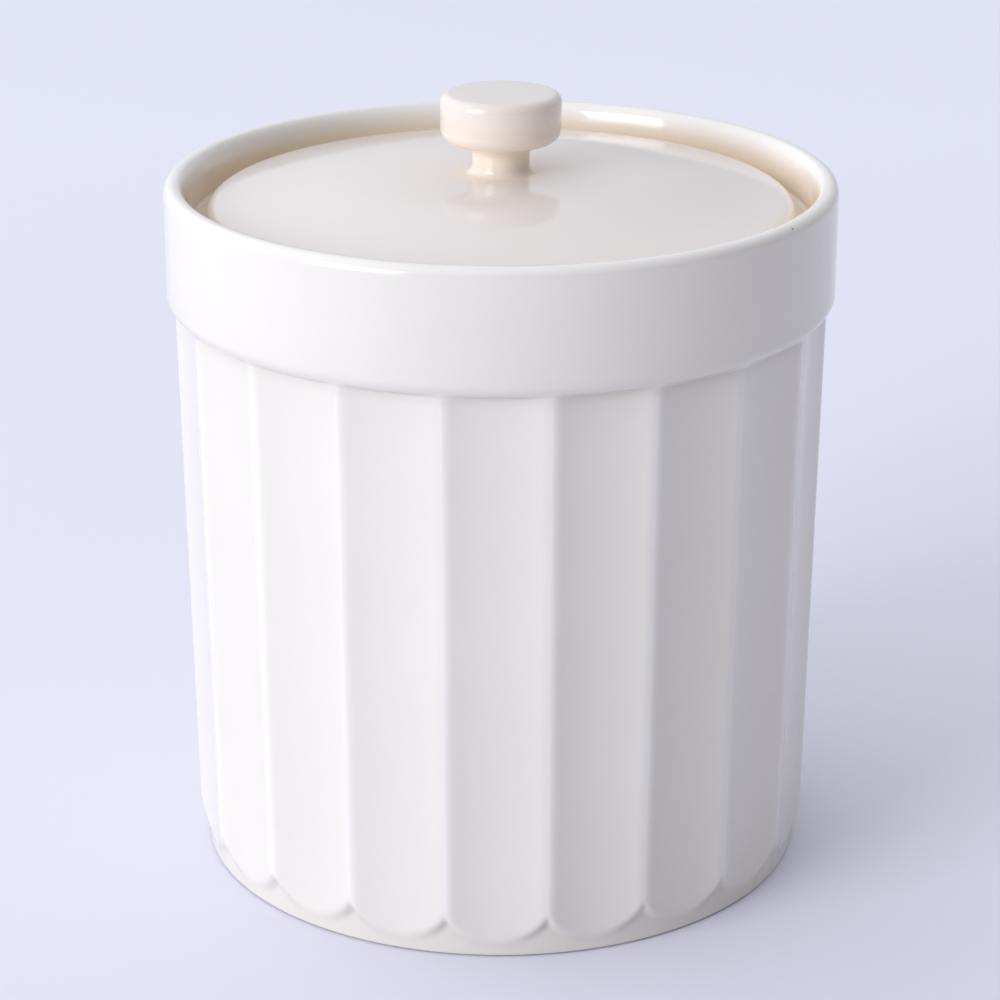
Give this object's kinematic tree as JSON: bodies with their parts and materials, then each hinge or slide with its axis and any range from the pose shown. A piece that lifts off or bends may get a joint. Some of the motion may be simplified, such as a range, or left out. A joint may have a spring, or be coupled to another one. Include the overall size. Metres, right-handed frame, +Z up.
{
  "type": "garlic keeper",
  "caption": "Round ceramic keeper with a plain collar over a fluted body, and a loose domed lid with a knob that sits inside the rim.",
  "frame": {"origin": "centre of the foot ring, on the plane that the jar stands on", "axes": "+Z up along the axis of the jar and lid; the middle of one flute lies on -Y"},
  "size_m": [0.13, 0.13, 0.1535],
  "materials": {
    "jar_glaze": "glossy off-white glaze, bare clay on the foot ring",
    "lid_glaze": "glossy off-white glaze, bare clay on the face that rests on the seat"
  },
  "bodies": {
    "jar": {"jar": "jar_glaze"},
    "lid": {"lid": "lid_glaze"}
  },
  "joints": [
    {"name": "lid_lift", "type": "slide", "parent": "jar", "child": "lid", "axis": [0, 0, 1], "range_m": [0, 0.04]}
  ]
}
